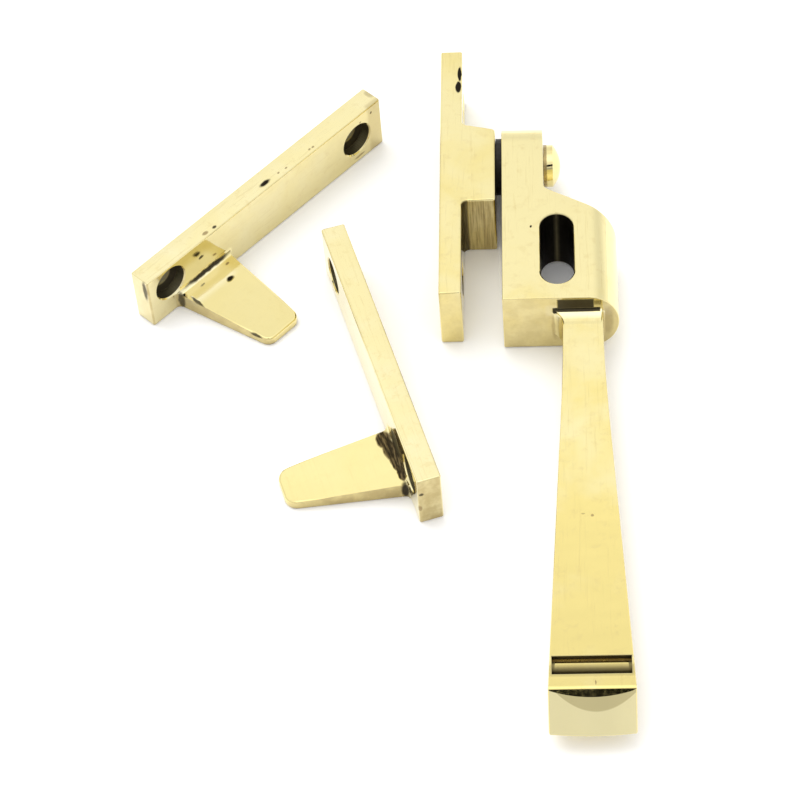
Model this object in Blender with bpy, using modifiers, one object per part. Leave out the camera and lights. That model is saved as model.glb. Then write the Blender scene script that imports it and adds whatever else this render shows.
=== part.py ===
"""Casement window fastener with two handed keep plates, laid out on a table.

The back plate stands on its long edge. X points out of the sash along the pivot pin,
Y runs along the plate and Z is up. The origin is the middle of the mounting face.
All sizes below are in millimetres and become metres through MM.
"""
import math

import bmesh
import bpy
from mathutils import Matrix, Vector
from mathutils.geometry import interpolate_bezier

MM = 0.001

# Back plate and its boss, one casting
PLATE_LENGTH = 73.4
PLATE_WIDTH = 17.2
PLATE_THICK = 5.0
BOSS_REACH = 12.5
BOSS_NEAR_Y = -9.8
BOSS_FAR_OUTER_Y = 11.85
BOSS_FAR_ROOT_Y = 13.7
BOSS_FILLET = 1.2
BOSS_CORNER = 1.0
PLATE_SCREW_INSET = 11.0
SCREW_BORE = 4.6
SCREW_HEAD = 8.4

# Pivot: pin, washer and running clearances
PIVOT_Y = 7.8
PIN_DIAMETER = 5.0
PIN_FIT = 0.02
RUNNING_FIT = 0.06
FACE_GAP = 0.06
TAIL_DIAMETER = 8.0
TAIL_DEPTH = 1.5
HEAD_DIAMETER = 9.7
HEAD_RIM = 2.1
HEAD_DOME = 1.8
WASHER_DIAMETER = 12.9
WASHER_THICK = 1.3

# Handle: arm and body
HANDLE_HEIGHT = 16.7
ARM_THICK = 9.4
BODY_WIDTH = 25.5
BODY_FRONT_Y = -38.6
NOSE_DEPTH = 6.4
SHOULDER_ROOT_Y = -6.1
SHOULDER_SLOPE = 0.555
SHOULDER_FILLET = 1.5
SLOT_WIDTH = 7.4
SLOT_LENGTH = 20.2
SLOT_FROM_ARM_FACE = 12.15
SLOT_NEAR_Y = -34.3

# Handle: lever, cast in one with the body
LEVER_FROM_ARM_FACE = 17.45
LEVER_LENGTH = 103.9
LEVER_THICK = 7.4
LEVER_SINK = 2.0
LEVER_ROOT_HALF = 4.45
LEVER_TIP_HALF = 8.85
LEVER_FLARE_LEFT = 2.2
LEVER_FLARE_RIGHT = 0.3
LEVER_FLARE_LENGTH = 5.0
LEVER_WAIST = 20.0
LEVER_SPREAD = 40.0
LEVER_SPREAD_SHARE = 0.3
COVE_RADIUS = 12.5
COVE_TURN = 19.5
COVE_SINK = 0.004

# Raked end and the flat facet above it; the edge of the last land is measured back from the tip
END_RAKE = 40.4
END_BULGE = 0.55
FACET_EDGE = 7.07
FACET_SLOPE = 32.5
FACET_ROLL = 1.5

# Bead in its pocket, measured back from the tip and down from the lever top
POCKET_START = 14.5
POCKET_END = 10.2
POCKET_LIP = 0.8
POCKET_DEPTH = 1.6
BEAD_RADIUS = 1.45
BEAD_BELOW = 0.15
BEAD_BITE = 0.3

# Keep plates, a handed pair; the tongues were finished by hand and differ a little
KEEP_LENGTH = 74.5
KEEP_WIDTH = 14.5
KEEP_THICK = 5.4
KEEP_NEAR_HOLE = (6.6, 9.3)
KEEP_FAR_HOLE = (8.2, 7.25)
KEEP_BORE_DEPTH = 2.6
TONGUE_REACH_LEFT = 24.1
TONGUE_REACH_RIGHT = 25.9
TONGUE_ROOT_LEFT = (7.9, 23.9)
TONGUE_ROOT_RIGHT = (7.4, 22.95)
TONGUE_TIP_LEFT = (12.85, 22.7)
TONGUE_TIP_RIGHT = (12.4, 21.7)
TONGUE_CORNER_LEFT = 2.2
TONGUE_CORNER_RIGHT = 2.9
TONGUE_ROOT_THICK = 4.5
TONGUE_TIP_THICK = 2.2
TONGUE_FILLET = 1.4
KEEP_LEFT_PLACE = (-64.8, -30.0)
KEEP_RIGHT_PLACE = (-4.2, -85.9)
KEEP_LEFT_ANGLE = -42.7
KEEP_RIGHT_ANGLE = 17.5

# Edges and roundness
EDGE = 0.45
EDGE_STEPS = 3
RIM = 0.3
FLAT = 0.5
SHARP = 45.0
ROUND_STEPS = 48
OVERRUN = 3.0

FLOOR_Z = -PLATE_WIDTH / 2
ARM_IN = BOSS_REACH + WASHER_THICK + 2 * FACE_GAP
ARM_OUT = ARM_IN + ARM_THICK
BODY_OUT = ARM_IN + BODY_WIDTH
LEVER_X = ARM_IN + LEVER_FROM_ARM_FACE
LEVER_TOP = LEVER_THICK / 2
TIP_Y = BODY_FRONT_Y - LEVER_LENGTH
HALF = HANDLE_HEIGHT / 2


def collection(name):
    made = bpy.data.collections.new(name)
    bpy.context.scene.collection.children.link(made)
    return made


def clear_scene():
    for obj in list(bpy.data.objects):
        bpy.data.objects.remove(obj, do_unlink=True)


def brass(name, colour, roughness):
    return material(name, colour, roughness, 1.0)


def material(name, colour, roughness, metallic):
    made = bpy.data.materials.new(name)
    made.use_nodes = True
    shader = made.node_tree.nodes["Principled BSDF"]
    shader.inputs["Base Color"].default_value = (*colour, 1.0)
    shader.inputs["Roughness"].default_value = roughness
    shader.inputs["Metallic"].default_value = metallic
    return made


def rounded(corners):
    """Outline points from (u, v, radius) corners; a radius rounds its corner in or out."""
    points = []
    for index, (u, v, radius) in enumerate(corners):
        here = Vector((u, v))
        back = Vector(corners[index - 1][:2]) - here
        ahead = Vector(corners[(index + 1) % len(corners)][:2]) - here
        if radius <= 0.0:
            points.append(here)
            continue
        opening = back.angle(ahead)
        turn = math.pi - opening
        reach = radius / math.tan(opening / 2)
        inward = (back.normalized() + ahead.normalized()).normalized()
        centre = here + inward * (radius / math.sin(opening / 2))
        start = here + back.normalized() * reach - centre
        side = 1.0 if back.cross(ahead) < 0.0 else -1.0
        step = math.radians(6 if radius > 2 else 12)
        count = max(3, math.ceil(turn / step))
        for k in range(count + 1):
            points.append(centre + Matrix.Rotation(side * turn * k / count, 2) @ start)
    return points


def flat_solid(name, points, low, high, plane="XY"):
    """A filled outline given thickness: XY stands along Z, YZ along X and XZ along Y."""
    curve = bpy.data.curves.new(name, "CURVE")
    curve.dimensions = "2D"
    curve.fill_mode = "BOTH"
    curve.extrude = (high - low) / 2 * MM
    spline = curve.splines.new("POLY")
    spline.points.add(len(points) - 1)
    for spot, point in zip(spline.points, points):
        spot.co = (point[0] * MM, point[1] * MM, 0.0, 1.0)
    spline.use_cyclic_u = True
    shape = bpy.data.objects.new(name, curve)
    bpy.context.scene.collection.objects.link(shape)
    graph = bpy.context.evaluated_depsgraph_get()
    mesh = bpy.data.meshes.new_from_object(shape.evaluated_get(graph))
    bpy.data.objects.remove(shape, do_unlink=True)
    turn = {
        "XY": Matrix.Identity(4),
        "YZ": Matrix(((0, 0, 1, 0), (1, 0, 0, 0), (0, 1, 0, 0), (0, 0, 0, 1))),
        "XZ": Matrix(((1, 0, 0, 0), (0, 0, 1, 0), (0, 1, 0, 0), (0, 0, 0, 1))),
    }[plane]
    mesh.transform(turn @ Matrix.Translation((0, 0, (low + high) / 2 * MM)))
    return from_mesh(name, mesh)


def from_mesh(name, mesh):
    """Welds a mesh and makes each flat side one face, so that edges can be eased to their full width."""
    bm = bmesh.new()
    bm.from_mesh(mesh)
    bmesh.ops.remove_doubles(bm, verts=bm.verts, dist=1e-6)
    bmesh.ops.dissolve_limit(bm, angle_limit=math.radians(FLAT), verts=bm.verts, edges=bm.edges)
    bmesh.ops.recalc_face_normals(bm, faces=bm.faces)
    bm.to_mesh(mesh)
    bm.free()
    mesh.name = name
    return bpy.data.objects.new(name, mesh)


def tapered(name, lower, upper, low, high):
    """A solid between two level outlines with as many points each."""
    count = len(lower)
    spots = [(x * MM, y * MM, low * MM) for x, y in lower]
    spots += [(x * MM, y * MM, high * MM) for x, y in upper]
    ring = [(k, (k + 1) % count) for k in range(count)]
    faces = [(a, b, b + count, a + count) for a, b in ring]
    faces += [tuple(range(count)), tuple(range(count, 2 * count))]
    mesh = bpy.data.meshes.new(name)
    mesh.from_pydata(spots, [], faces)
    return from_mesh(name, mesh)


def box_tool(name, low, high):
    bm = bmesh.new()
    bmesh.ops.create_cube(bm, size=1.0)
    size = [(b - a) * MM for a, b in zip(low, high)]
    middle = [(a + b) / 2 * MM for a, b in zip(low, high)]
    bm.transform(Matrix.Translation(middle) @ Matrix.Diagonal((*size, 1.0)))
    mesh = bpy.data.meshes.new(name)
    bm.to_mesh(mesh)
    bm.free()
    return bpy.data.objects.new(name, mesh)


def turned(name, profile, y=0.0, z=0.0):
    """A shape turned round a line along X; the profile is (radius, x) from the high-X end down."""
    mesh = bpy.data.meshes.new(name)
    spots = [(radius * MM, 0.0, x * MM) for radius, x in profile]
    mesh.from_pydata(spots, [(i, i + 1) for i in range(len(spots) - 1)], [])
    shape = bpy.data.objects.new(name, mesh)
    bpy.context.scene.collection.objects.link(shape)
    screw = shape.modifiers.new("turn", "SCREW")
    screw.axis = "Z"
    screw.steps = ROUND_STEPS
    screw.render_steps = ROUND_STEPS
    screw.use_merge_vertices = True
    screw.merge_threshold = 1e-5
    graph = bpy.context.evaluated_depsgraph_get()
    solid = bpy.data.meshes.new_from_object(shape.evaluated_get(graph))
    bpy.data.objects.remove(shape, do_unlink=True)
    solid.transform(Matrix.Translation((0, y * MM, z * MM)) @ Matrix.Rotation(math.pi / 2, 4, "Y"))
    return from_mesh(name, solid)


def round_bar(name, sides, y=0.0, z=0.0):
    """A closed round solid along X from its (radius, x) sides; a stepped one drills a stepped hole."""
    return turned(name, [(0.0, sides[0][1])] + sides + [(0.0, sides[-1][1])], y, z)


def combine(target, tool, operation, tools):
    """Adds, takes away or keeps the common part of two solids with a Boolean modifier."""
    tools.objects.link(tool)
    tool.hide_render = True
    tool.display_type = "WIRE"
    step = target.modifiers.new(tool.name, "BOOLEAN")
    step.solver = "EXACT"
    step.operation = operation
    step.object = tool


def ease_edges(target, left_sharp=None):
    """Works in the solid's Booleans so far and rounds its sharp edges, but not those left sharp."""
    stage = bpy.context.scene.collection.objects
    stage.link(target)
    graph = bpy.context.evaluated_depsgraph_get()
    mesh = bpy.data.meshes.new_from_object(target.evaluated_get(graph))
    stage.unlink(target)
    target.modifiers.clear()
    bm = bmesh.new()
    bm.from_mesh(mesh)
    bmesh.ops.dissolve_limit(bm, angle_limit=math.radians(FLAT), verts=bm.verts, edges=bm.edges)
    edges = [edge for edge in bm.edges if edge.calc_face_angle() > math.radians(SHARP)]
    if left_sharp:
        edges = [edge for edge in edges if not any(left_sharp(vert.co / MM) for vert in edge.verts)]
    bmesh.ops.bevel(bm, geom=edges, offset=EDGE * MM, segments=EDGE_STEPS, profile=0.5, affect="EDGES",
                    offset_type="OFFSET", clamp_overlap=True)
    bm.to_mesh(mesh)
    bm.free()
    target.data = mesh


def set_origin(obj, x, y, z):
    """Moves an object's origin without moving its shape."""
    shift = Vector((x * MM, y * MM, z * MM))
    obj.data.transform(Matrix.Translation(-shift))
    obj.location = shift


def make_back_plate(tools):
    end = PLATE_LENGTH / 2
    outline = rounded([
        (0.0, -end, 0.0),
        (PLATE_THICK, -end, 0.0),
        (PLATE_THICK, BOSS_NEAR_Y, BOSS_FILLET),
        (BOSS_REACH, BOSS_NEAR_Y, 0.0),
        (BOSS_REACH, BOSS_FAR_OUTER_Y, BOSS_CORNER),
        (PLATE_THICK, BOSS_FAR_ROOT_Y, BOSS_FILLET),
        (PLATE_THICK, end, 0.0),
        (0.0, end, 0.0),
    ])
    plate = flat_solid("back_plate", outline, -PLATE_WIDTH / 2, PLATE_WIDTH / 2)
    ease_edges(plate)
    pin = PIN_DIAMETER / 2 + PIN_FIT
    tail = TAIL_DIAMETER / 2 + PIN_FIT
    slope = (tail - pin) / TAIL_DEPTH
    seat = [(pin, BOSS_REACH + OVERRUN), (pin, TAIL_DEPTH), (tail + slope * OVERRUN, -OVERRUN)]
    combine(plate, round_bar("pin_hole", seat, PIVOT_Y), "DIFFERENCE", tools)
    bore, head = SCREW_BORE / 2, SCREW_HEAD / 2
    sink = [(head + OVERRUN, PLATE_THICK + OVERRUN), (bore, PLATE_THICK - (head - bore)), (bore, -OVERRUN)]
    for side, label in ((-1, "near"), (1, "far")):
        screw_hole = round_bar("plate_hole_" + label, sink, side * (end - PLATE_SCREW_INSET))
        combine(plate, screw_hole, "DIFFERENCE", tools)
    return plate


def make_pin():
    under_head = ARM_OUT + FACE_GAP
    rim = under_head + HEAD_RIM
    shank = PIN_DIAMETER / 2
    head = HEAD_DIAMETER / 2
    ball = (head * head + HEAD_DOME * HEAD_DOME) / (2 * HEAD_DOME)
    turns = [math.asin(head / ball) * k / 10 for k in range(11)]
    dome = [(ball * math.sin(a), rim + HEAD_DOME - ball * (1 - math.cos(a))) for a in turns]
    spread = (TAIL_DIAMETER / 2 - shank) * (TAIL_DEPTH - FACE_GAP) / TAIL_DEPTH
    profile = dome + [
        (head, under_head),
        (shank, under_head),
        (shank, TAIL_DEPTH),
        (shank + spread, FACE_GAP),
        (0.0, FACE_GAP),
    ]
    pin = turned("pivot_pin", profile, PIVOT_Y)
    set_origin(pin, 0, PIVOT_Y, 0)
    return pin


def make_washer():
    low = BOSS_REACH + FACE_GAP
    high = low + WASHER_THICK
    inner = PIN_DIAMETER / 2 + RUNNING_FIT
    outer = WASHER_DIAMETER / 2
    ring = [(inner, high), (outer, high), (outer, low), (inner, low), (inner, high)]
    washer = turned("friction_washer", ring, PIVOT_Y)
    set_origin(washer, 0, PIVOT_Y, 0)
    return washer


def shoulder_y(x):
    return SHOULDER_ROOT_Y - SHOULDER_SLOPE * (x - ARM_OUT)


def half_round(centre, reach, half):
    """Points of a half ellipse that bulges along the first axis."""
    turns = [math.pi * (k / 30 - 0.5) for k in range(31)]
    return [(centre + reach * math.cos(a), half * math.sin(a)) for a in turns]


def make_body(tools):
    """The body and its arm: a plan, a side view and an end view kept where all three agree."""
    plan = rounded([
        (ARM_IN, BODY_FRONT_Y, 0.0),
        (BODY_OUT + OVERRUN, BODY_FRONT_Y, 0.0),
        (BODY_OUT + OVERRUN, shoulder_y(BODY_OUT + OVERRUN), 0.0),
        (ARM_OUT, SHOULDER_ROOT_Y, SHOULDER_FILLET),
        (ARM_OUT, PIVOT_Y + HALF + OVERRUN, 0.0),
        (ARM_IN, PIVOT_Y + HALF + OVERRUN, 0.0),
    ])
    body = flat_solid("handle", plan, -HALF - OVERRUN, HALF + OVERRUN)
    side = [(BODY_FRONT_Y - OVERRUN, HALF), (BODY_FRONT_Y - OVERRUN, -HALF)]
    side += half_round(PIVOT_Y, HALF, HALF)
    side_view = flat_solid("side_view", side, 0.0, BODY_OUT + 2 * OVERRUN, "YZ")
    combine(body, side_view, "INTERSECT", tools)
    tall = HALF + 2 * OVERRUN
    nose_x = BODY_OUT - NOSE_DEPTH
    past_x = BODY_OUT + 3 * OVERRUN
    outside = [(past_x, tall), (nose_x, tall)]
    outside += reversed(half_round(nose_x, NOSE_DEPTH, HALF))
    outside += [(nose_x, -tall), (past_x, -tall)]
    past_y = PIVOT_Y + HALF + 2 * OVERRUN
    nose_round = flat_solid("nose_round", outside, BODY_FRONT_Y - OVERRUN, past_y, "XZ")
    combine(body, nose_round, "DIFFERENCE", tools)
    return body


def lever_side(flare, inset):
    """One side of the lever's plan, from its root to past its tip, as if the middle line were x = 0."""
    def at(half, along):
        return Vector((half - inset, BODY_FRONT_Y - along, 0.0))

    wide_root = LEVER_ROOT_HALF + flare
    spread = LEVER_ROOT_HALF + (LEVER_TIP_HALF - LEVER_ROOT_HALF) * LEVER_SPREAD_SHARE
    root = at(wide_root, 0.0)
    pull = at(LEVER_ROOT_HALF, LEVER_FLARE_LENGTH / 3)
    ease = at(LEVER_ROOT_HALF, LEVER_FLARE_LENGTH / 2)
    neck = at(LEVER_ROOT_HALF, LEVER_FLARE_LENGTH)
    waist = at(LEVER_ROOT_HALF, LEVER_WAIST)
    opening = at(spread, LEVER_SPREAD)
    land = at(LEVER_TIP_HALF, LEVER_LENGTH - FACET_EDGE)
    points = [at(wide_root, -LEVER_SINK)]
    points += interpolate_bezier(root, pull, ease, neck, 7)
    points += interpolate_bezier(neck, waist, opening, land, 25)[1:]
    points.append(at(LEVER_TIP_HALF, LEVER_LENGTH + OVERRUN))
    return points


def lever_outline(inset=0.0):
    """Plan of the lever: a flare at the root, a hollow sweep out, then straight past the tip."""
    right = [(LEVER_X + p.x, p.y) for p in lever_side(LEVER_FLARE_RIGHT, inset)]
    left = [(LEVER_X - p.x, p.y) for p in lever_side(LEVER_FLARE_LEFT, inset)]
    return right + left[::-1]


def root_cove(tools):
    """A hollow sweep from the lever's top part of the way up the body's front face."""
    turn = math.radians(COVE_TURN)
    start = BODY_FRONT_Y - COVE_RADIUS * math.sin(turn)
    low = LEVER_TOP - COVE_SINK
    turns = [turn * k / 6 for k in range(7)]
    sweep = [(start + COVE_RADIUS * math.sin(a), low + COVE_RADIUS * (1 - math.cos(a))) for a in turns]
    inside = BODY_FRONT_Y + LEVER_SINK / 2
    under = LEVER_TOP - LEVER_SINK
    side_view = sweep + [(inside, sweep[-1][1]), (inside, under), (start, under)]
    wide = LEVER_ROOT_HALF + OVERRUN
    cove = flat_solid("root_cove", side_view, LEVER_X - wide, LEVER_X + wide, "YZ")
    plan = flat_solid("root_plan", lever_outline(EDGE), 0.0, LEVER_TOP + COVE_RADIUS)
    combine(cove, plan, "INTERSECT", tools)
    return cove


def end_rake():
    """All that lies in front of the raked end, which bulges a little in plan."""
    wide = LEVER_TIP_HALF + OVERRUN
    bow = (LEVER_TIP_HALF ** 2 + END_BULGE ** 2) / (2 * END_BULGE)
    spots = [wide * (k / 12 - 1.0) for k in range(25)]
    front = [(LEVER_X + x, TIP_Y + bow - math.sqrt(bow * bow - x * x)) for x in spots]
    far = TIP_Y - LEVER_LENGTH / 4
    outline = front + [(LEVER_X + wide, far), (LEVER_X - wide, far)]
    tool = flat_solid("end_rake", outline, -LEVER_TOP - OVERRUN, LEVER_TOP + OVERRUN)
    lean = math.tan(math.radians(END_RAKE))
    push = lean * LEVER_TOP * MM
    tool.data.transform(Matrix(((1, 0, 0, 0), (0, 1, lean, push), (0, 0, 1, 0), (0, 0, 0, 1))))
    return tool


def end_facet():
    """All that lies over the flat facet; its upper edge rolls over into the last land."""
    edge = TIP_Y + FACET_EDGE
    slope = math.radians(FACET_SLOPE)
    tangent = edge + FACET_ROLL * math.tan(slope / 2)
    turns = [slope * (k / 6 - 1 / 12) for k in range(7)] + [slope]
    roll = [(tangent - FACET_ROLL * math.sin(a), LEVER_TOP - FACET_ROLL * (1 - math.cos(a))) for a in turns]
    roll[0] = (tangent + OVERRUN / 10, LEVER_TOP + OVERRUN / 10)
    past = FACET_EDGE + OVERRUN
    low = (edge - past, LEVER_TOP - past * math.tan(slope))
    outline = roll + [low, (edge - past, LEVER_TOP + OVERRUN), (tangent + OVERRUN / 10, LEVER_TOP + OVERRUN)]
    wide = LEVER_TIP_HALF + OVERRUN
    return flat_solid("end_facet", outline, LEVER_X - wide, LEVER_X + wide, "YZ")


def slot_outline(half):
    slot_x = ARM_IN + SLOT_FROM_ARM_FACE
    ends = [SLOT_NEAR_Y + SLOT_WIDTH / 2, SLOT_NEAR_Y + SLOT_LENGTH - SLOT_WIDTH / 2]
    curve = [math.pi * k / 16 for k in range(17)]
    points = [(slot_x + half * math.cos(a), ends[1] + half * math.sin(a)) for a in curve]
    return points + [(slot_x - half * math.cos(a), ends[0] - half * math.sin(a)) for a in curve]


def cut_slot(handle, tools):
    """A slot right through, with a small chamfer round both rims."""
    half = SLOT_WIDTH / 2
    slot = flat_solid("slot", slot_outline(half), -HALF - OVERRUN, HALF + OVERRUN)
    combine(handle, slot, "DIFFERENCE", tools)
    narrow, wide = slot_outline(half), slot_outline(half + 2 * RIM)
    combine(handle, tapered("slot_rim_top", narrow, wide, HALF - RIM, HALF + RIM), "DIFFERENCE", tools)
    combine(handle, tapered("slot_rim_under", wide, narrow, -HALF - RIM, RIM - HALF), "DIFFERENCE", tools)


def make_handle(tools):
    handle = make_body(tools)
    lever = flat_solid("lever", lever_outline(), -LEVER_TOP, LEVER_TOP)
    combine(lever, end_rake(), "DIFFERENCE", tools)
    combine(handle, lever, "UNION", tools)
    ease_edges(handle)
    combine(handle, root_cove(tools), "UNION", tools)
    combine(handle, end_facet(), "DIFFERENCE", tools)
    cut_slot(handle, tools)

    lip = LEVER_TIP_HALF - POCKET_LIP
    low = (LEVER_X - lip, TIP_Y + POCKET_END, LEVER_TOP - POCKET_DEPTH)
    high = (LEVER_X + lip, TIP_Y + POCKET_START, LEVER_TOP + OVERRUN)
    combine(handle, box_tool("bead_pocket", low, high), "DIFFERENCE", tools)
    reach = lip + BEAD_BITE
    sides = [(BEAD_RADIUS, LEVER_X + reach), (BEAD_RADIUS, LEVER_X - reach)]
    bead_y = TIP_Y + (POCKET_START + POCKET_END) / 2
    bead = round_bar("bead", sides, bead_y, LEVER_TOP - BEAD_BELOW - BEAD_RADIUS)
    combine(handle, bead, "UNION", tools)

    bore = PIN_DIAMETER / 2 + RUNNING_FIT
    through = [(bore, ARM_OUT + OVERRUN), (bore, ARM_IN - OVERRUN)]
    combine(handle, round_bar("arm_bore", through, PIVOT_Y), "DIFFERENCE", tools)
    set_origin(handle, 0, PIVOT_Y, 0)
    return handle


def make_keep(name, place, angle, side, tongue, tools):
    """A bar with a wedge tongue; side +1 or -1 says which way the tongue points along X.

    The tongue is its reach, where its root and its tip lie along the bar, and its corner radius.
    """
    reach, root, tip, corner = tongue
    frame = bpy.data.objects.new(name + "_frame", None)
    frame.location = (place[0] * MM, place[1] * MM, FLOOR_Z * MM)
    frame.rotation_euler = (0.0, 0.0, math.radians(angle))

    plan = rounded([
        (-KEEP_THICK * side, 0.0, 0.0),
        (0.0, 0.0, 0.0),
        (0.0, root[0], TONGUE_FILLET),
        (reach * side, tip[0], corner),
        (reach * side, tip[1], corner),
        (0.0, root[1], TONGUE_FILLET),
        (0.0, KEEP_LENGTH, 0.0),
        (-KEEP_THICK * side, KEEP_LENGTH, 0.0),
    ])
    keep = flat_solid(name, plan, 0.0, KEEP_WIDTH)
    past = reach + OVERRUN
    fall = (TONGUE_ROOT_THICK - TONGUE_TIP_THICK) / reach
    above = rounded([
        (0.0, TONGUE_ROOT_THICK, TONGUE_FILLET),
        (past * side, TONGUE_ROOT_THICK - fall * past, 0.0),
        (past * side, KEEP_WIDTH + OVERRUN, 0.0),
        (0.0, KEEP_WIDTH + OVERRUN, 0.0),
    ])
    over = flat_solid(name + "_over_tongue", above, -OVERRUN, KEEP_LENGTH + OVERRUN, "XZ")
    combine(keep, over, "DIFFERENCE", tools)

    def at_tongue_root(spot):
        along = -EDGE / 2 < spot.x * side < TONGUE_FILLET + EDGE
        return along and EDGE < spot.z < 2 * TONGUE_ROOT_THICK

    ease_edges(keep, at_tongue_root)

    bore, head = SCREW_BORE / 2, SCREW_HEAD / 2
    seat = KEEP_BORE_DEPTH + (head - bore) / 2
    rim = [(head, OVERRUN), (head, RIM), (head + 2 * RIM, RIM), (head, -RIM)]
    sink = rim + [(head, -KEEP_BORE_DEPTH), (bore, -seat), (bore, -KEEP_THICK - OVERRUN)]
    holes = {
        "near": KEEP_NEAR_HOLE,
        "far": (KEEP_LENGTH - KEEP_FAR_HOLE[0], KEEP_FAR_HOLE[1]),
    }
    facing = Matrix.Rotation(0.0 if side > 0 else math.pi, 4, "Z")
    for label, (y, z) in holes.items():
        hole = round_bar(name + "_hole_" + label, sink)
        hole.data.transform(Matrix.Translation((0, y * MM, z * MM)) @ facing)
        hole.parent = frame
        combine(keep, hole, "DIFFERENCE", tools)
    keep.parent = frame
    return frame, keep


def main():
    clear_scene()
    parts = collection("casement_fastener")
    tools = collection("cutters")
    tools.hide_render = True

    left_tongue = (TONGUE_REACH_LEFT, TONGUE_ROOT_LEFT, TONGUE_TIP_LEFT, TONGUE_CORNER_LEFT)
    right_tongue = (TONGUE_REACH_RIGHT, TONGUE_ROOT_RIGHT, TONGUE_TIP_RIGHT, TONGUE_CORNER_RIGHT)
    left_place = (KEEP_LEFT_PLACE, KEEP_LEFT_ANGLE)
    right_place = (KEEP_RIGHT_PLACE, KEEP_RIGHT_ANGLE)
    left_frame, left = make_keep("keep_plate_left", *left_place, 1, left_tongue, tools)
    right_frame, right = make_keep("keep_plate_right", *right_place, -1, right_tongue, tools)
    pieces = {
        make_back_plate(tools): brass("plate_brass", (0.86, 0.72, 0.40), 0.24),
        make_pin(): brass("pin_brass", (0.88, 0.75, 0.44), 0.16),
        make_washer(): material("washer_fibre", (0.018, 0.016, 0.015), 0.7, 0.0),
        make_handle(tools): brass("handle_brass", (0.88, 0.75, 0.43), 0.2),
        left: brass("keep_left_brass", (0.85, 0.71, 0.39), 0.24),
        right: brass("keep_right_brass", (0.85, 0.71, 0.39), 0.24),
    }
    for frame in (left_frame, right_frame):
        parts.objects.link(frame)
    for piece, finish in pieces.items():
        piece.data.materials.clear()
        piece.data.materials.append(finish)
        parts.objects.link(piece)


main()
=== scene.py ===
"""Looks of the casement window fastener: polished old brass on a white table."""
import math

import bpy
from mathutils import Matrix, Vector


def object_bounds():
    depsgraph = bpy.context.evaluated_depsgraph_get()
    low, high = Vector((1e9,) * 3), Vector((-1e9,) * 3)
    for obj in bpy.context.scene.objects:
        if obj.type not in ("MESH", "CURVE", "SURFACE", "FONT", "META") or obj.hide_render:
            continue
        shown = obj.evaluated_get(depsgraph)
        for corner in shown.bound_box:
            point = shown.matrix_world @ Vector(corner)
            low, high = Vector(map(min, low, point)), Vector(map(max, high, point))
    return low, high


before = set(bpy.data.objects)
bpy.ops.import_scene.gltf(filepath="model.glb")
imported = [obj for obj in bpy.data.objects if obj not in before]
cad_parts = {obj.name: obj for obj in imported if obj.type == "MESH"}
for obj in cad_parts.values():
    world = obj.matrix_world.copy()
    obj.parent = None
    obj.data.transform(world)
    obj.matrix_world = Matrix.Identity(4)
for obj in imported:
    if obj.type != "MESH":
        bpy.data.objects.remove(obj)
cad_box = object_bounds()

MM = 0.001

# Camera, matched to the photograph
CAMERA_PLACE = (27.39, -456.11, 510.22)
CAMERA_RIGHT = (0.998234, 0.016920, -0.056944)
CAMERA_UP = (0.021573, 0.789880, 0.612881)
CAMERA_LENS = 134.83
CAMERA_SENSOR = 36.0
CAMERA_CLIP = 0.01

# Light tent: level of the white cloth by elevation in degrees, how cloudy it is, and its gain towards the back
TENT_LEVELS = {
    0.0: 1.22, 12.0: 1.06, 25.0: 0.96, 35.0: 0.97, 45.0: 1.03,
    50.0: 1.12, 53.0: 1.22, 58.0: 1.07, 66.0: 1.17, 80.0: 1.60,
}
TENT_CLOUD = 0.06
TENT_CLOUD_SCALE = 2.2
TENT_BACK = 0.05

# Lamp over the table, in degrees: turns to the back and to the left, and width
LAMP_TILT = (20.0, -18.0)
LAMP_SIZE = 45.0
LAMP_STRENGTH = 1.0

# What the metal mirrors at the camera's place: a dark lens and a grey stand
LENS_RADIUS = 72.0
LENS_SIDES = 32
LENS_LEVEL = 0.01
STAND_CENTRE = (31.0, -620.0, 378.0)
STAND_WIDTH = 230.0
STAND_HEIGHT = 150.0
STAND_LEVEL = 0.42

# Table, in metres: its side, and where the near tone ends and the far one begins
FLOOR_SIZE = 4.0
FLOOR_COLOUR = (0.96, 0.96, 0.97)
FLOOR_FAR_COLOUR = (0.66, 0.66, 0.67)
FLOOR_NEAR = 0.25
FLOOR_FAR = 1.20
FLOOR_ROUGH = 0.9
FLOOR_LIFT = 0.05

# Shading of the welded meshes: bends that stay sharp, and those of the facet's edge near the lever's tip
WELD = 0.002
SHARP_EDGE = 40.0
FACET_EDGE_LOW = 14.5
FACET_EDGE_HIGH = 20.0
FACET_FROM_Y = -134.0
NORMAL_WEIGHT = 60

# Brass tones
GOLD = (0.820, 0.685, 0.265)
YELLOW = (0.828, 0.703, 0.300)
LIGHT = (0.845, 0.748, 0.395)
PALE = (0.860, 0.782, 0.475)
WORN = (0.860, 0.800, 0.540)
# The next tone is for painted highlights
PAINTED_HIGHLIGHT = (0.960, 0.890, 0.600)
OLIVE = (0.600, 0.525, 0.275)
DULL = (0.500, 0.400, 0.185)
BROWN = (0.300, 0.215, 0.095)
BLACK = (0.020, 0.016, 0.011)
MOTTLE = (0.690, 0.550, 0.240)
SCRATCH = (0.620, 0.480, 0.200)

# Tones of the washer's fibre
FIBRE_DARK = (0.010, 0.009, 0.008)
FIBRE_LIGHT = (0.034, 0.029, 0.025)

# Brass surface: height of its waves, depth of marks and pits, reach of worn edges and of grime with painted
# shade in recesses, added roughness
WAVE = 0.07
MARK_DEPTH = 0.003
PIT_DEPTH = 0.10
WORN_REACH = 0.5
GRIME_SHADE_REACH = 2.2
STAIN_ROUGH = 0.22
PIT_ROUGH = 0.50

# Rims of painted marks: how far they wander, and the share of a mark over which it fades
RAGGED = 0.6
SOFT_RIM = 0.35
HARD_RIM = 0.15
BORE_SOFT = 0.12

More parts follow.
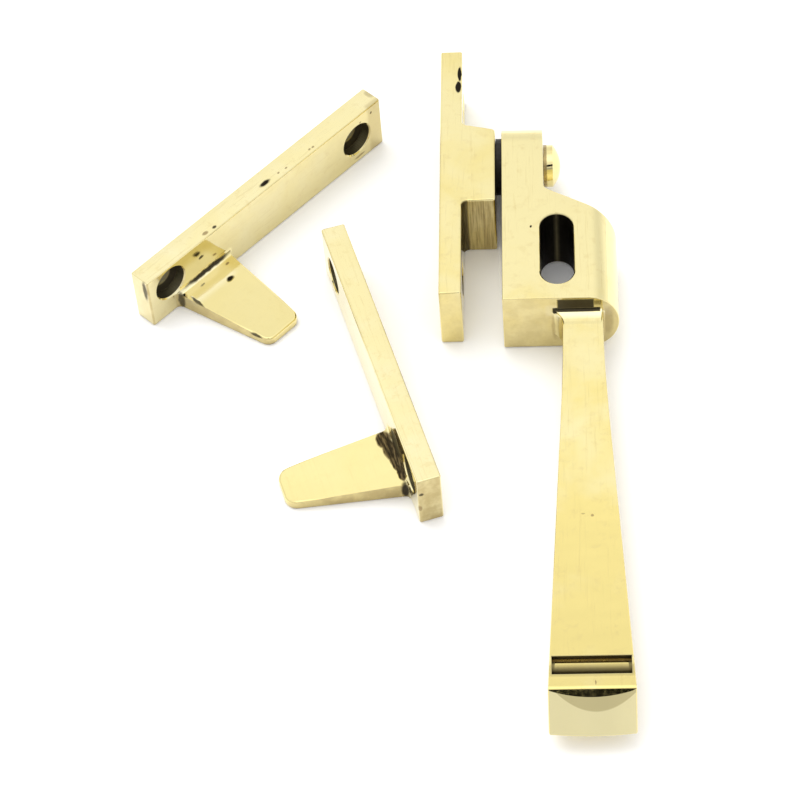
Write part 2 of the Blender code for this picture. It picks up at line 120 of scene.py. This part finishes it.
# Polishing marks: how fast they change along X, Y and Z
ALONG_BAR = (1.5, 0.10, 1.5)
ALONG_LEVER = (1.5, 0.07, 1.5)
ALONG_PIN = (0.3, 1.5, 1.5)

# Painted reflection under the facet on the lever's end face: lowest point of the arc that bounds it, and how
# fast it rises to the sides
REFLECTION_ARC_X = 32.2
REFLECTION_ARC_Z = 0.25
REFLECTION_ARC_CURVE = 0.043

# Keep plates on the table: place of the bar's near end, turn about the upright
FLOOR_Z = -8.6
KEEP_LEFT = ((-64.8, -30.0, FLOOR_Z), -42.7)
KEEP_RIGHT = ((-4.2, -85.9, FLOOR_Z), 17.5)
KEEP_LENGTH = 74.5

# Screw holes: places along the plate, or along and up a keep, and radii inside which painted shade blackens them
PLATE_HOLES = (-25.7, 25.7)
PLATE_SINK = 3.6
KEEP_HOLES = ((6.6, 9.3), (KEEP_LENGTH - 8.2, 7.25))
KEEP_SINK = 4.25
KEEP_SEAT_OUT = 2.75
KEEP_SEAT_IN = 2.25

# Pits and stains: centre, half sizes, strength
HANDLE_PITS = (
    ((20.38, -17.73, 8.35), (0.24, 0.34, 0.4), 1.0),
)
HANDLE_STAINS = (
    ((32.3, -93.5, 3.7), (0.35, 0.30, 0.5), 0.7),
    ((30.4, -93.1, 3.7), (0.40, 0.18, 0.5), 0.5),
    ((32.1, -134.3, 3.7), (0.14, 0.6, 0.5), 0.8),
    ((25.2, -38.6, -1.5), (0.6, 0.6, 4.0), 0.45),
    ((36.9, -38.6, 0.0), (1.2, 0.6, 4.5), 0.40),
)
KEEP_LEFT_PITS = (
    ((-1.6, 38.5, 14.5), (0.55, 1.5, 0.6), 1.0),
    ((0.0, 71.4, 12.3), (0.4, 0.35, 0.3), 0.8),
    ((-0.8, 21.8, 14.5), (0.35, 0.55, 0.5), 0.9),
    ((0.0, 16.0, 9.8), (0.4, 0.7, 0.45), 0.85),
    ((5.6, 19.0, 4.1), (0.6, 1.0, 0.6), 1.0),
    ((5.2, 9.3, 4.1), (2.2, 0.40, 0.45), 0.85),
    ((0.5, 17.0, 5.0), (0.55, 7.2, 0.55), 0.95),
    ((0.9, 8.1, 2.6), (0.9, 0.7, 2.6), 0.8),
    ((-1.1, 0.0, 11.4), (0.7, 0.5, 3.0), 0.80),
    ((20.9, 12.1, 2.2), (1.9, 0.5, 0.5), 0.85),
)
KEEP_LEFT_STAINS = (
    ((-1.5, 42.7, 14.5), (0.22, 0.35, 0.4), 0.8),
    ((-1.2, 45.0, 14.5), (0.22, 0.35, 0.4), 0.8),
    ((-1.3, 52.6, 14.5), (0.22, 0.35, 0.4), 0.8),
    ((-1.1, 53.6, 14.5), (0.22, 0.35, 0.4), 0.8),
    ((-2.9, 73.9, 14.5), (1.3, 0.8, 0.6), 0.45),
    ((0.0, 67.7, 12.0), (0.4, 0.30, 0.25), 0.8),
    ((0.0, 66.7, 1.6), (0.4, 1.6, 0.35), 0.75),
    ((-1.1, 19.1, 14.5), (0.4, 0.8, 0.5), 0.8),
    ((2.1, 21.5, 4.5), (0.3, 0.6, 0.5), 0.9),
)
KEEP_RIGHT_PITS = (
    ((-0.8, 7.6, 2.6), (0.9, 0.9, 2.4), 0.95),
    ((0.8, 0.0, 9.9), (0.5, 0.5, 0.5), 0.8),
)
KEEP_RIGHT_STAINS = (
    ((0.3, 0.0, 5.2), (0.5, 0.5, 0.9), 0.8),
)

# Casting skin along the right tongue's root: place across and along the keep, half sizes
KEEP_RIGHT_SKIN = (
    (-1.8, 20.6, 1.6, 2.4),
    (-1.4, 17.8, 1.4, 3.2),
    (-1.0, 14.8, 1.1, 3.4),
    (-0.7, 11.6, 0.8, 3.2),
)

# Dark blocks, most of them painted shade with grime where a polishing wheel can't reach: lowest and highest
# corner, fading width, strength.
# On the plate in the corner at the boss's near face; on the handle a painted reflection above the lever's root,
# and painted shade along the root, in the slot and round the bead; on the pin a brown band.
PLATE_SHADE_BLACK = (
    # Painted shade with grime in the corner where the boss's near face meets the plate
    ((5.0, -11.0, -9.0), (6.0, -9.0, 8.2), 0.5, 0.75),
)
HANDLE_SHADE_BLACK = (
    # Painted reflection of the dark gap, on the body's front above the lever's root
    ((26.1, -38.75, 5.0), (33.7, -38.45, 7.55), 0.35, 0.90),
    # Painted shade with grime in the crevice along the lever's root
    ((25.0, -38.95, 3.6), (35.1, -38.45, 4.75), 0.25, 0.92),
    # Painted shade with grime inside the slot
    ((22.5, -34.2, -8.3), (29.7, -14.2, 7.95), 0.3, 1.0),
    # Painted shade with grime on the pocket's walls and the bead's near side
    ((23.3, -128.35, 2.6), (39.5, -127.9, 3.55), 0.25, 0.85),
    ((23.3, -132.4, 1.0), (39.5, -130.6, 3.2), 0.9, 0.72),
    ((23.35, -132.0, 1.0), (23.85, -128.8, 3.5), 0.25, 0.75),
    ((38.85, -132.0, 1.0), (39.35, -128.8, 3.5), 0.25, 0.75),
)
HANDLE_SHADE_BROWN = (
    # Painted shade with grime on the pocket's far wall and on the bead
    ((23.3, -128.35, 1.0), (39.5, -127.9, 2.6), 0.25, 0.35),
    ((23.4, -131.9, 1.0), (39.4, -130.2, 3.58), 0.5, 0.30),
)
PIN_BROWN = (
    ((23.2, 0.0, -9.0), (24.0, 16.0, 9.0), 0.3, 0.8),
)


def node(tree, kind, inputs=None, **settings):
    """A new node; an input value is either a number or the socket that feeds it."""
    made = tree.nodes.new(kind)
    for name, value in settings.items():
        setattr(made, name, value)
    for name, value in (inputs or {}).items():
        if isinstance(value, bpy.types.NodeSocket):
            tree.links.new(value, made.inputs[name])
        else:
            made.inputs[name].default_value = value
    return made


def calc(tree, operation, a, b=0.0):
    return node(tree, "ShaderNodeMath", {0: a, 1: b}, operation=operation).outputs[0]


def ramp(tree, value, low, high, to_low=0.0, to_high=1.0):
    inputs = {"Value": value, "From Min": low, "From Max": high, "To Min": to_low, "To Max": to_high}
    made = node(tree, "ShaderNodeMapRange", inputs, interpolation_type="SMOOTHSTEP")
    return made.outputs["Result"]


def blend(tree, share, first, second):
    made = node(tree, "ShaderNodeMix", {0: share, 6: first, 7: second}, data_type="RGBA")
    return made.outputs[2]


def noise(tree, where, scale, detail=3.0, rough=0.5, distort=0.0):
    inputs = {"Vector": where, "Scale": scale, "Detail": detail, "Roughness": rough, "Distortion": distort}
    return node(tree, "ShaderNodeTexNoise", inputs).outputs["Fac"]


def smooth_shading(facet):
    """Welds the mesh and smooths it over small bends; sharp edges and the facet's edge stay."""
    group = bpy.data.node_groups.new("smooth_shading", "GeometryNodeTree")
    group.interface.new_socket("Geometry", in_out="INPUT", socket_type="NodeSocketGeometry")
    group.interface.new_socket("Geometry", in_out="OUTPUT", socket_type="NodeSocketGeometry")

    def compare(value, limit, operation="GREATER_THAN"):
        return node(group, "FunctionNodeCompare", {0: value, 1: limit}, operation=operation).outputs[0]

    def logic(operation, a, b):
        return node(group, "FunctionNodeBooleanMath", {0: a, 1: b}, operation=operation).outputs[0]

    start = node(group, "NodeGroupInput").outputs[0]
    merged = node(group, "GeometryNodeMergeByDistance", {"Geometry": start, "Distance": WELD * MM}).outputs[0]
    bare = node(group, "GeometryNodeRemoveAttribute", {"Geometry": merged, "Name": "custom_normal"}).outputs[0]
    soft = node(group, "GeometryNodeSetShadeSmooth", {"Geometry": bare}, domain="FACE").outputs[0]
    bend = node(group, "GeometryNodeInputMeshEdgeAngle").outputs["Unsigned Angle"]
    sharp = compare(bend, math.radians(SHARP_EDGE))
    if facet:
        place = node(group, "GeometryNodeInputPosition").outputs[0]
        y = node(group, "ShaderNodeSeparateXYZ", {0: place}).outputs["Y"]
        over = compare(bend, math.radians(FACET_EDGE_LOW))
        under = compare(bend, math.radians(FACET_EDGE_HIGH), "LESS_THAN")
        near = compare(y, FACET_FROM_Y * MM, "LESS_THAN")
        sharp = logic("OR", sharp, logic("AND", logic("AND", over, under), near))
    edges = {"Geometry": soft, "Selection": sharp, "Shade Smooth": False}
    crisp = node(group, "GeometryNodeSetShadeSmooth", edges, domain="EDGE").outputs[0]
    node(group, "NodeGroupOutput", {0: crisp})
    return group


def polish_normals(obj, facet=False):
    obj.modifiers.new("smooth", "NODES").node_group = smooth_shading(facet)
    weighted = obj.modifiers.new("weighted", "WEIGHTED_NORMAL")
    weighted.keep_sharp = True
    weighted.weight = NORMAL_WEIGHT


class Brass:
    """A brass material under construction: places are in millimetres in the piece's own frame."""

    def __init__(self, name, place=(0.0, 0.0, 0.0), angle=0.0):
        self.material = bpy.data.materials.new(name)
        self.material.use_nodes = True
        self.tree = self.material.node_tree
        self.shader = self.tree.nodes["Principled BSDF"]
        coordinates = node(self.tree, "ShaderNodeTexCoord").outputs
        turn = Matrix.Rotation(-math.radians(angle), 3, "Z")
        inputs = {
            "Vector": coordinates["Object"],
            "Location": turn @ Vector(place) * -1.0,
            "Rotation": (0.0, 0.0, -math.radians(angle)),
            "Scale": (1.0 / MM,) * 3,
        }
        self.where = node(self.tree, "ShaderNodeMapping", inputs, vector_type="POINT").outputs[0]
        shake = node(self.tree, "ShaderNodeTexNoise", {"Vector": self.where, "Scale": 0.55, "Detail": 5.0})
        wobble = self.vector("SUBTRACT", shake.outputs["Color"], (0.5,) * 3)[0]
        self.ragged = self.vector("MULTIPLY_ADD", wobble, (RAGGED,) * 3, self.where)[0]
        self.facing = node(self.tree, "ShaderNodeSeparateXYZ", {0: coordinates["Normal"]}).outputs
        self.dark = None
        self.brown = None
        self.tints = []

    def axes(self):
        return node(self.tree, "ShaderNodeSeparateXYZ", {0: self.where}).outputs

    def vector(self, operation, *values):
        return node(self.tree, "ShaderNodeVectorMath", dict(enumerate(values)), operation=operation).outputs

    def times(self, a, b):
        return calc(self.tree, "MULTIPLY", a, b)

    def minus(self, a, b):
        return calc(self.tree, "SUBTRACT", a, b)

    def spot(self, centre, reach, rim=SOFT_RIM):
        """A ragged patch with half sizes reach round a centre, full inside and fading at its rim."""
        off = self.vector("SUBTRACT", self.ragged, centre)[0]
        far = self.vector("LENGTH", self.vector("DIVIDE", off, reach)[0])["Value"]
        return ramp(self.tree, far, 1.0 + rim, 1.0 - rim)

    def block(self, low, high, soft):
        """Full inside a box, fading over the soft width outside it."""
        mask = None
        for axis, (a, b) in enumerate(zip(low, high)):
            along = self.axes()[axis]
            both = self.times(ramp(self.tree, along, a - soft, a), ramp(self.tree, along, b + soft, b))
            mask = both if mask is None else self.times(mask, both)
        return mask

    def bore(self, y, z, radius):
        """Inside of a hole along X."""
        axes = self.axes()
        dy = self.minus(axes["Y"], y)
        dz = self.minus(axes["Z"], z)
        far = calc(self.tree, "SQRT", calc(self.tree, "ADD", self.times(dy, dy), self.times(dz, dz)))
        return ramp(self.tree, far, radius + BORE_SOFT, radius - BORE_SOFT)

    def streaks(self, stretch, low, high, faint, strong):
        """Streaked patches; stretch says how fast they change along X, Y and Z."""
        stretched = self.vector("MULTIPLY", self.where, stretch)[0]
        return ramp(self.tree, noise(self.tree, stretched, 1.0, 4.0, 0.6), low, high, faint, strong)

    def blacken(self, mask, share=1.0):
        mask = self.times(mask, share)
        self.dark = mask if self.dark is None else calc(self.tree, "MAXIMUM", self.dark, mask)

    def darken_brown(self, mask, share=1.0):
        mask = self.times(mask, share)
        self.brown = mask if self.brown is None else calc(self.tree, "MAXIMUM", self.brown, mask)

    def mark(self, pits=(), stains=(), black=(), brown=()):
        """Adds listed marks: pits and stains are ragged spots, black and brown are blocks, here mostly painted
        shade with dirt, and one painted reflection.
        """
        for centre, reach, share in pits:
            self.blacken(self.spot(centre, reach), share)
        for centre, reach, share in stains:
            self.darken_brown(self.spot(centre, reach), share)
        for low, high, soft, share in black:
            self.blacken(self.block(low, high, soft), share)
        for low, high, soft, share in brown:
            self.darken_brown(self.block(low, high, soft), share)

    def tint(self, mask, colour, share=1.0):
        self.tints.append((self.times(mask, share), colour))

    def shade_fronts(self, low, high, share):
        """Paints shade on the faces of the part that look along -Y, in patches."""
        patches = ramp(self.tree, noise(self.tree, self.where, 0.30, 4.0, 0.6), 0.30, 0.65, 0.55, 1.0)
        front = ramp(self.tree, self.facing["Y"], low, high)
        self.tint(self.times(front, patches), DULL, share)

    def finish(self, first, second, grain, paler=(-200.0, 200.0)):
        """Joins tones, polishing marks, dirt and painted shade in recesses, worn edges and the marks into the
        shader.

        The second tone takes over between the two places along Y named by paler.
        """
        tree = self.tree
        shader = self.shader
        shader.inputs["Metallic"].default_value = 1.0

        cloud = noise(tree, self.where, 0.075, 4.0, 0.55, 0.4)
        share = calc(tree, "ADD", cloud, ramp(tree, self.axes()["Y"], *paler, -0.22, 0.22))
        tone = blend(tree, ramp(tree, share, 0.30, 0.70), (*first, 1.0), (*second, 1.0))
        mottle = noise(tree, self.where, 0.45, 5.0, 0.6)
        tone = blend(tree, ramp(tree, mottle, 0.52, 0.74, 0.0, 0.30), tone, (*MOTTLE, 1.0))
        marks = noise(tree, self.vector("MULTIPLY", self.where, grain)[0], 1.0, 4.0, 0.65)
        tone = blend(tree, ramp(tree, marks, 0.54, 0.72, 0.0, 0.22), tone, (*SCRATCH, 1.0))
        worn = node(tree, "ShaderNodeAmbientOcclusion", {"Distance": WORN_REACH * MM}, samples=4, inside=True)
        tone = blend(tree, ramp(tree, worn.outputs["AO"], 0.80, 0.45, 0.0, 0.45), tone, (*WORN, 1.0))
        for mask, colour in self.tints:
            tone = blend(tree, mask, tone, (*colour, 1.0))

        # Grime and painted shade: what ambient occlusion finds closed in turns brown
        open_sky = node(tree, "ShaderNodeAmbientOcclusion", {"Distance": GRIME_SHADE_REACH * MM}, samples=6)
        patches = ramp(tree, noise(tree, self.where, 0.8, 4.0, 0.6), 0.30, 0.60, 0.35, 1.0)
        grime_and_shade = self.times(ramp(tree, open_sky.outputs["AO"], 0.62, 0.30, 0.0, 0.75), patches)
        tone = blend(tree, grime_and_shade, tone, (*BROWN, 1.0))
        rough = ramp(tree, marks, 0.3, 0.8, 0.055, 0.15)
        rough = calc(tree, "ADD", rough, self.times(grime_and_shade, STAIN_ROUGH))
        if self.brown is not None:
            tone = blend(tree, self.brown, tone, (*BROWN, 1.0))
            rough = calc(tree, "ADD", rough, self.times(self.brown, STAIN_ROUGH))
        if self.dark is not None:
            tone = blend(tree, self.dark, tone, (*BLACK, 1.0))
            rough = calc(tree, "ADD", rough, self.times(self.dark, PIT_ROUGH))
        tree.links.new(tone, shader.inputs["Base Color"])
        tree.links.new(rough, shader.inputs["Roughness"])

        swell = noise(tree, self.where, 0.11, 2.0, 0.45)
        wavy = node(tree, "ShaderNodeBump", {"Strength": 1.0, "Distance": WAVE * MM, "Height": swell}).outputs[0]
        height = self.times(marks, MARK_DEPTH)
        if self.dark is not None:
            height = self.minus(height, self.times(self.dark, PIT_DEPTH))
        inputs = {"Strength": 0.6, "Distance": MM, "Height": height, "Normal": wavy}
        tree.links.new(node(tree, "ShaderNodeBump", inputs).outputs[0], shader.inputs["Normal"])
        return self.material


def plate_finish():
    made = Brass("plate_finish")
    made.blacken(made.spot((4.4, 29.3, 8.5), (0.45, 2.3, 0.7), HARD_RIM))
    made.blacken(made.spot((4.1, 25.2, 8.5), (0.70, 1.8, 0.7), HARD_RIM))
    # Painted shade with grime in the corner at the boss's near face
    made.mark(black=PLATE_SHADE_BLACK)
    # The boss's near face is scratched upright
    end = made.block((5.2, -10.6, -9.0), (12.4, -9.5, 8.1), 0.4)
    made.darken_brown(made.times(end, made.streaks((2.6, 1.0, 0.12), 0.35, 0.70, 0.15, 0.80)))
    # Painted shade inside the screw holes
    deep = made.block((-1.0, -60.0, -9.0), (4.6, 60.0, 9.0), 0.1)
    for y in PLATE_HOLES:
        made.blacken(made.times(made.bore(y, 0.0, PLATE_SINK), deep), 0.8)
    # Painted shade on the faces that look along -Y
    made.shade_fronts(-0.85, -0.97, 0.4)
    return made.finish(YELLOW, LIGHT, ALONG_BAR)


def handle_finish():
    made = Brass("handle_finish")
    # Pits and stains, and blocks of painted shade and a painted reflection
    made.mark(HANDLE_PITS, HANDLE_STAINS, HANDLE_SHADE_BLACK, HANDLE_SHADE_BROWN)
    # A paler end face: painted reflection of the bright cloth in front
    front = ramp(made.tree, made.facing["Y"], -0.56, -0.70)
    end = made.times(front, made.block((20.0, -160.0, -9.0), (43.0, -134.5, 9.0), 0.5))
    made.tint(end, PALE, 0.8)
    # A painted highlight on the lever's top where it rises at the root
    made.tint(made.block((24.0, -39.9, 3.0), (37.0, -38.9, 5.2), 1.2), PAINTED_HIGHLIGHT, 0.6)
    # A painted reflection on the end face: an olive tone, bounded by an arc
    axes = made.axes()
    off = made.minus(axes["X"], REFLECTION_ARC_X)
    arc = made.times(made.times(off, off), REFLECTION_ARC_CURVE)
    above = made.minus(made.minus(axes["Z"], REFLECTION_ARC_Z), arc)
    made.tint(made.times(end, ramp(made.tree, above, -0.08, 0.22)), OLIVE)
    # Painted shade on the faces that look along -Y
    made.shade_fronts(-0.85, -0.97, 0.6)
    return made.finish(GOLD, LIGHT, ALONG_LEVER, (-130.0, 10.0))


def keep_holes(made, side):
    """Blackens the screw holes of a keep with painted shade, less on the seat's ring; side +1 or -1 says which
    way its tongue points along X.
    """
    low, high = (-5.2, -0.35) if side > 0 else (0.35, 5.2)
    deep = made.block((low, -1.0, 0.0), (high, 80.0, 14.4), 0.12)
    for y, z in KEEP_HOLES:
        seat = made.minus(made.bore(y, z, KEEP_SEAT_OUT), made.bore(y, z, KEEP_SEAT_IN))
        # Painted shade in the hole, less on the seat's ring
        hole_shade = made.minus(made.bore(y, z, KEEP_SINK), made.times(seat, 0.22))
        made.blacken(made.times(hole_shade, deep), 0.97)


def keep_left_finish():
    made = Brass("keep_left_finish", *KEEP_LEFT)
    keep_holes(made, 1)
    made.mark(KEEP_LEFT_PITS, KEEP_LEFT_STAINS)
    made.tint(made.block((-0.4, 70.9, 0.0), (0.4, 75.0, 14.6), 1.2), DULL, 0.55)
    made.tint(made.block((1.0, 5.0, 0.0), (30.0, 30.0, 6.0), 1.0), YELLOW, 0.7)
    # A painted reflection at the tongue's root, where the bar's face and the tongue mirror each other
    made.tint(made.block((-0.3, 8.0, 4.0), (4.0, 20.0, 9.0), 2.5), PAINTED_HIGHLIGHT, 0.7)
    # Painted shade on the faces that look along -Y
    made.shade_fronts(-0.60, -0.95, 1.0)
    return made.finish(PALE, LIGHT, ALONG_BAR)


def keep_right_finish():
    made = Brass("keep_right_finish", *KEEP_RIGHT)
    keep_holes(made, -1)
    made.mark(KEEP_RIGHT_PITS, KEEP_RIGHT_STAINS)
    # A wedge of black casting skin along the tongue's root, streaked along its length
    skin = made.streaks((2.4, 0.35, 1.0), 0.38, 0.62, 0.35, 0.88)
    for x, y, wide, long in KEEP_RIGHT_SKIN:
        wedge = made.spot((x, y, 4.7), (wide, long, 1.6), HARD_RIM)
        made.darken_brown(wedge, 0.95)
        made.blacken(made.times(wedge, skin))
    made.blacken(made.spot((0.0, 17.0, 7.0), (0.6, 3.4, 3.0), HARD_RIM), 0.85)
    made.tint(made.block((-30.0, 5.0, 0.0), (-1.0, 30.0, 6.0), 1.0), YELLOW, 0.7)
    # Painted shade on the faces that look along -Y
    made.shade_fronts(-0.60, -0.95, 1.0)
    return made.finish(PALE, LIGHT, ALONG_BAR)


def pin_finish():
    made = Brass("pin_finish")
    made.mark(brown=PIN_BROWN)
    return made.finish(YELLOW, LIGHT, ALONG_PIN)


def washer_finish():
    made = bpy.data.materials.new("washer_finish")
    made.use_nodes = True
    tree = made.node_tree
    shader = tree.nodes["Principled BSDF"]
    where = node(tree, "ShaderNodeTexCoord").outputs["Object"]
    speck = noise(tree, where, 1.5 / MM, 4.0, 0.6)
    tone = blend(tree, speck, (*FIBRE_DARK, 1.0), (*FIBRE_LIGHT, 1.0))
    tree.links.new(tone, shader.inputs["Base Color"])
    tree.links.new(ramp(tree, speck, 0.3, 0.7, 0.5, 0.8), shader.inputs["Roughness"])
    bump = node(tree, "ShaderNodeBump", {"Strength": 0.5, "Distance": 0.05 * MM, "Height": speck})
    tree.links.new(bump.outputs[0], shader.inputs["Normal"])
    return made


def make_camera():
    data = bpy.data.cameras.new("camera")
    data.lens = CAMERA_LENS
    data.sensor_width = CAMERA_SENSOR
    data.clip_start = CAMERA_CLIP
    camera = bpy.data.objects.new("camera", data)
    bpy.context.scene.collection.objects.link(camera)
    right = Vector(CAMERA_RIGHT)
    up = Vector(CAMERA_UP)
    turn = Matrix((right, up, right.cross(up))).transposed()
    camera.matrix_world = Matrix.Translation(Vector(CAMERA_PLACE) * MM) @ turn.to_4x4()
    bpy.context.scene.camera = camera


def make_tent():
    """White cloth all round, brighter overhead, near the horizon and at the back of the table."""
    world = bpy.data.worlds.new("tent")
    world.use_nodes = True
    bpy.context.scene.world = world
    tree = world.node_tree
    look = node(tree, "ShaderNodeTexCoord").outputs["Generated"]
    axes = node(tree, "ShaderNodeSeparateXYZ", {0: look}).outputs
    levels = node(tree, "ShaderNodeValToRGB", {"Fac": axes["Z"]})
    stops = levels.color_ramp.elements
    while len(stops) < len(TENT_LEVELS):
        stops.new(0.5)
    for stop, (elevation, level) in zip(stops, TENT_LEVELS.items()):
        stop.position = math.sin(math.radians(elevation))
        stop.color = (level, level, level, 1.0)
    cloud = noise(tree, look, TENT_CLOUD_SCALE, 2.0)
    drift = ramp(tree, cloud, 0.3, 0.7, 1.0 - TENT_CLOUD, 1.0 + TENT_CLOUD)
    back = calc(tree, "ADD", calc(tree, "MULTIPLY", axes["Y"], TENT_BACK), 1.0)
    inputs = {0: levels.outputs["Color"], "Scale": calc(tree, "MULTIPLY", drift, back)}
    shade = node(tree, "ShaderNodeVectorMath", inputs, operation="SCALE").outputs[0]
    tree.links.new(shade, tree.nodes["Background"].inputs["Color"])


def make_lamp():
    """A broad lamp above the table, a little to the back and left; it lights the table and not the metal."""
    data = bpy.data.lights.new("lamp", "SUN")
    data.energy = LAMP_STRENGTH
    data.angle = math.radians(LAMP_SIZE)
    lamp = bpy.data.objects.new("lamp", data)
    back, left = LAMP_TILT
    lamp.rotation_euler = (-math.radians(back), math.radians(left), 0.0)
    lamp.visible_glossy = False
    bpy.context.scene.collection.objects.link(lamp)


def glossy_card(name, corners, level):
    """A card that only shows as a reflection, as the camera and its stand do in the metal."""
    mesh = bpy.data.meshes.new(name)
    mesh.from_pydata(corners, [], [tuple(range(len(corners)))])
    card = bpy.data.objects.new(name, mesh)
    bpy.context.scene.collection.objects.link(card)
    made = bpy.data.materials.new(name)
    made.use_nodes = True
    shader = made.node_tree.nodes["Principled BSDF"]
    shader.inputs["Base Color"].default_value = (0.0, 0.0, 0.0, 1.0)
    shader.inputs["Specular IOR Level"].default_value = 0.0
    shader.inputs["Emission Color"].default_value = (level, level, level, 1.0)
    shader.inputs["Emission Strength"].default_value = 1.0
    mesh.materials.append(made)
    card.visible_camera = False
    card.visible_diffuse = False
    card.visible_shadow = False
    card.visible_transmission = False


def make_reflections():
    right = Vector(CAMERA_RIGHT)
    up = Vector(CAMERA_UP)
    lens = Vector(CAMERA_PLACE)
    turns = [math.tau * k / LENS_SIDES for k in range(LENS_SIDES)]
    rim = [(lens + LENS_RADIUS * (math.cos(a) * right + math.sin(a) * up)) * MM for a in turns]
    glossy_card("lens", rim, LENS_LEVEL)
    stand = Vector(STAND_CENTRE)
    sides = [(-1, -1), (1, -1), (1, 1), (-1, 1)]
    corners = [(stand + right * a * STAND_WIDTH / 2 + up * b * STAND_HEIGHT / 2) * MM for a, b in sides]
    glossy_card("stand", corners, STAND_LEVEL)


def make_floor():
    mesh = bpy.data.meshes.new("floor")
    half = FLOOR_SIZE / 2
    low = cad_box[0][2]
    corners = [(-half, -half, low), (half, -half, low), (half, half, low), (-half, half, low)]
    mesh.from_pydata(corners, [], [(0, 1, 2, 3)])
    floor = bpy.data.objects.new("floor", mesh)
    bpy.context.scene.collection.objects.link(floor)
    made = bpy.data.materials.new("white_table")
    made.use_nodes = True
    tree = made.node_tree
    shader = tree.nodes["Principled BSDF"]
    where = node(tree, "ShaderNodeTexCoord").outputs["Object"]
    far = node(tree, "ShaderNodeVectorMath", {0: where}, operation="LENGTH").outputs["Value"]
    tone = blend(tree, ramp(tree, far, FLOOR_NEAR, FLOOR_FAR), (*FLOOR_COLOUR, 1.0), (*FLOOR_FAR_COLOUR, 1.0))
    tree.links.new(tone, shader.inputs["Base Color"])
    shader.inputs["Roughness"].default_value = FLOOR_ROUGH
    shader.inputs["Specular IOR Level"].default_value = 0.0
    # A little glow where the table is seen, also in the metal
    path = node(tree, "ShaderNodeLightPath")
    seen = calc(tree, "MAXIMUM", path.outputs["Is Camera Ray"], path.outputs["Is Glossy Ray"])
    seen = calc(tree, "MAXIMUM", seen, path.outputs["Is Transmission Ray"])
    shader.inputs["Emission Color"].default_value = (1.0, 1.0, 1.0, 1.0)
    tree.links.new(calc(tree, "MULTIPLY", seen, FLOOR_LIFT), shader.inputs["Emission Strength"])
    mesh.materials.append(made)


def dress(name, finish, facet=False):
    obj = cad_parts[name]
    obj.material_slots[0].material = finish
    polish_normals(obj, facet)


def main():
    bpy.context.scene.view_settings.view_transform = "Standard"
    make_camera()
    make_tent()
    make_lamp()
    make_reflections()
    make_floor()
    dress("back_plate", plate_finish())
    dress("pivot_pin", pin_finish())
    dress("friction_washer", washer_finish())
    dress("handle", handle_finish(), facet=True)
    dress("keep_plate_left", keep_left_finish())
    dress("keep_plate_right", keep_right_finish())


main()
